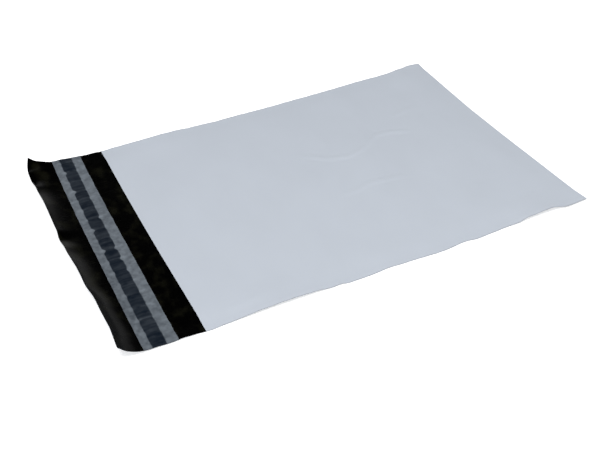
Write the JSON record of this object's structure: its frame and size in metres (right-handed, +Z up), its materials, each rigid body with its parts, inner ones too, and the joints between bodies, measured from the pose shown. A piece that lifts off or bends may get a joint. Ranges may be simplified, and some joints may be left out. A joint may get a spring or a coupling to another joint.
{
  "type": "poly mailer bag",
  "caption": "Flat co-extruded poly mailer bag, grey outside and black inside, lying open with its lip curled up and a self-seal strip under a clear peel-off liner.",
  "frame": {"origin": "on the surface the bag lies on, under the middle of its box", "axes": "+X along the bag from the lip to the bottom fold, +Y across it towards the side that the picture shows as the far one, +Z up out of the front panel"},
  "size_m": [0.39, 0.255, 0.0133],
  "materials": {
    "film": "smooth satin film, light blue-grey outside and black inside",
    "glue": "dark hot-melt glue with a soft gloss",
    "liner": "thin clear peel-off film, slightly milky and finely puckered"
  },
  "bodies": {
    "root": {"film_bag": "film", "adhesive_strip": "glue", "release_liner": "liner"}
  },
  "joints": []
}
